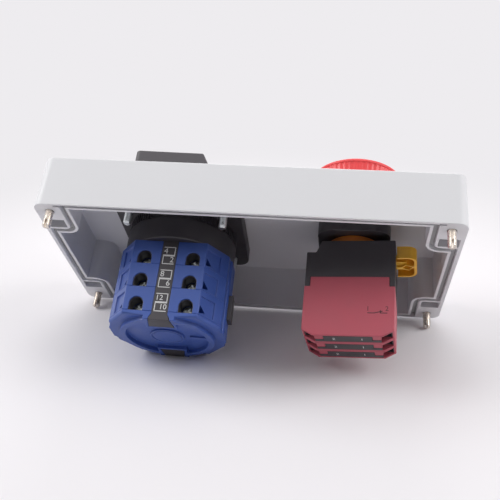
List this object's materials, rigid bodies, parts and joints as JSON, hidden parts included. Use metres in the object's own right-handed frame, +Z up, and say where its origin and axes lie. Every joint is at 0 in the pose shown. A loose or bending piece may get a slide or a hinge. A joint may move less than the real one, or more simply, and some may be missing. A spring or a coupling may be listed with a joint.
{
  "type": "reversing drum switch",
  "caption": "Box lid carrying a rotary reversing cam switch with a pointer knob and a mushroom emergency stop with stacked contact blocks.",
  "frame": {"origin": "middle of the floor footprint, under the part as it rests", "axes": "+X along the lid from the reversing switch to the emergency stop, +Z up, the lid's open back facing -Y and down"},
  "size_m": [0.2, 0.1054, 0.1014],
  "materials": {
    "lid_plastic": "fine texture, light grey",
    "gasket": "soft rubber",
    "nickel": "nickel plated",
    "zinc": "zinc plated",
    "steel": "machined",
    "spring_steel": "bright wire",
    "dial_aluminium": "brushed",
    "black_plastic": "satin black",
    "knob_plastic": "satin dark grey",
    "blue_plastic": "satin blue",
    "pink_plastic": "satin pink red",
    "yellow_plastic": "satin yellow",
    "red_plastic": "satin red",
    "pale_plastic": "natural",
    "brass": "stamped"
  },
  "bodies": {
    "lid": {"cover": "lid_plastic", "cover_gasket": "gasket", "cover_screws": "nickel", "panel_seal": "gasket", "bezel_frame": "black_plastic", "dial_plate": "dial_aluminium", "mounting_screws": "zinc", "latch_housing": "black_plastic", "latch_sliders": "black_plastic", "latch_springs": "spring_steel", "stage_1": "blue_plastic", "stage_2": "blue_plastic", "stage_3": "blue_plastic", "cam_followers": "knob_plastic", "contact_bridges": "brass", "contact_springs": "spring_steel", "terminals_1": "brass", "terminals_2": "brass", "terminals_3": "brass", "terminal_screws": "zinc", "end_cap": "blue_plastic", "tie_bolts": "zinc", "label_strip_near": "black_plastic", "label_strip_far": "black_plastic", "side_tab": "black_plastic", "stop_body": "black_plastic", "stop_seal": "gasket", "stop_spring": "spring_steel", "spring_seat": "black_plastic", "fixing_collar": "black_plastic", "block_carrier": "black_plastic", "block_1": "pink_plastic", "block_2": "pink_plastic", "block_3": "pink_plastic", "block_insert_1": "black_plastic", "block_insert_2": "black_plastic", "block_insert_3": "black_plastic", "block_terminals_1": "brass", "block_terminals_2": "brass", "block_terminals_3": "brass", "block_screws": "zinc", "block_springs": "spring_steel"},
    "knob_and_cams": {"knob": "knob_plastic", "knob_screw": "zinc", "knob_cap": "knob_plastic", "switch_shaft": "steel", "star_wheel": "steel", "cam_1": "black_plastic", "cam_2": "knob_plastic", "cam_3": "black_plastic"},
    "stop_stem": {"stop_stem": "black_plastic"},
    "stop_head": {"stop_head": "red_plastic"},
    "lock_lever": {"lock_lever": "yellow_plastic"},
    "plunger_1": {"block_plunger_1": "pale_plastic", "block_bridge_1": "brass"},
    "plunger_2": {"block_plunger_2": "pale_plastic", "block_bridge_2": "brass"},
    "plunger_3": {"block_plunger_3": "pale_plastic", "block_bridge_3": "brass"}
  },
  "joints": [
    {"name": "knob_turn", "type": "hinge", "parent": "lid", "child": "knob_and_cams", "pos_m": [-0.03775, 0.02419, 0.06331], "axis": [0, 0.8238, 0.5669], "range_deg": [-60, 60]},
    {"name": "stop_press", "type": "slide", "parent": "lid", "child": "stop_stem", "axis": [0, -0.8238, -0.5669], "range_m": [0, 0.0055]},
    {"name": "stop_twist", "type": "hinge", "parent": "stop_stem", "child": "stop_head", "pos_m": [0.051, 0.01818, 0.05917], "axis": [0, 0.8238, 0.5669], "range_deg": [-40, 0], "stiffness_Nm_per_rad": 0.02},
    {"name": "lever_turn", "type": "hinge", "parent": "lid", "child": "lock_lever", "pos_m": [0.051, -0.00159, 0.04557], "axis": [0, 0.8238, 0.5669], "range_deg": [0, 30]},
    {"name": "plunger_1_press", "type": "slide", "parent": "lid", "child": "plunger_1", "axis": [0, -0.8238, -0.5669], "range_m": [0, 0.0055]},
    {"name": "plunger_2_press", "type": "slide", "parent": "lid", "child": "plunger_2", "axis": [0, -0.8238, -0.5669], "range_m": [0, 0.0055]},
    {"name": "plunger_3_press", "type": "slide", "parent": "lid", "child": "plunger_3", "axis": [0, -0.8238, -0.5669], "range_m": [0, 0.0055]}
  ],
  "couplings": [
    {"joint": "plunger_1_press", "follows": "stop_press", "ratio": 1},
    {"joint": "plunger_2_press", "follows": "stop_press", "ratio": 1},
    {"joint": "plunger_3_press", "follows": "stop_press", "ratio": 1}
  ]
}
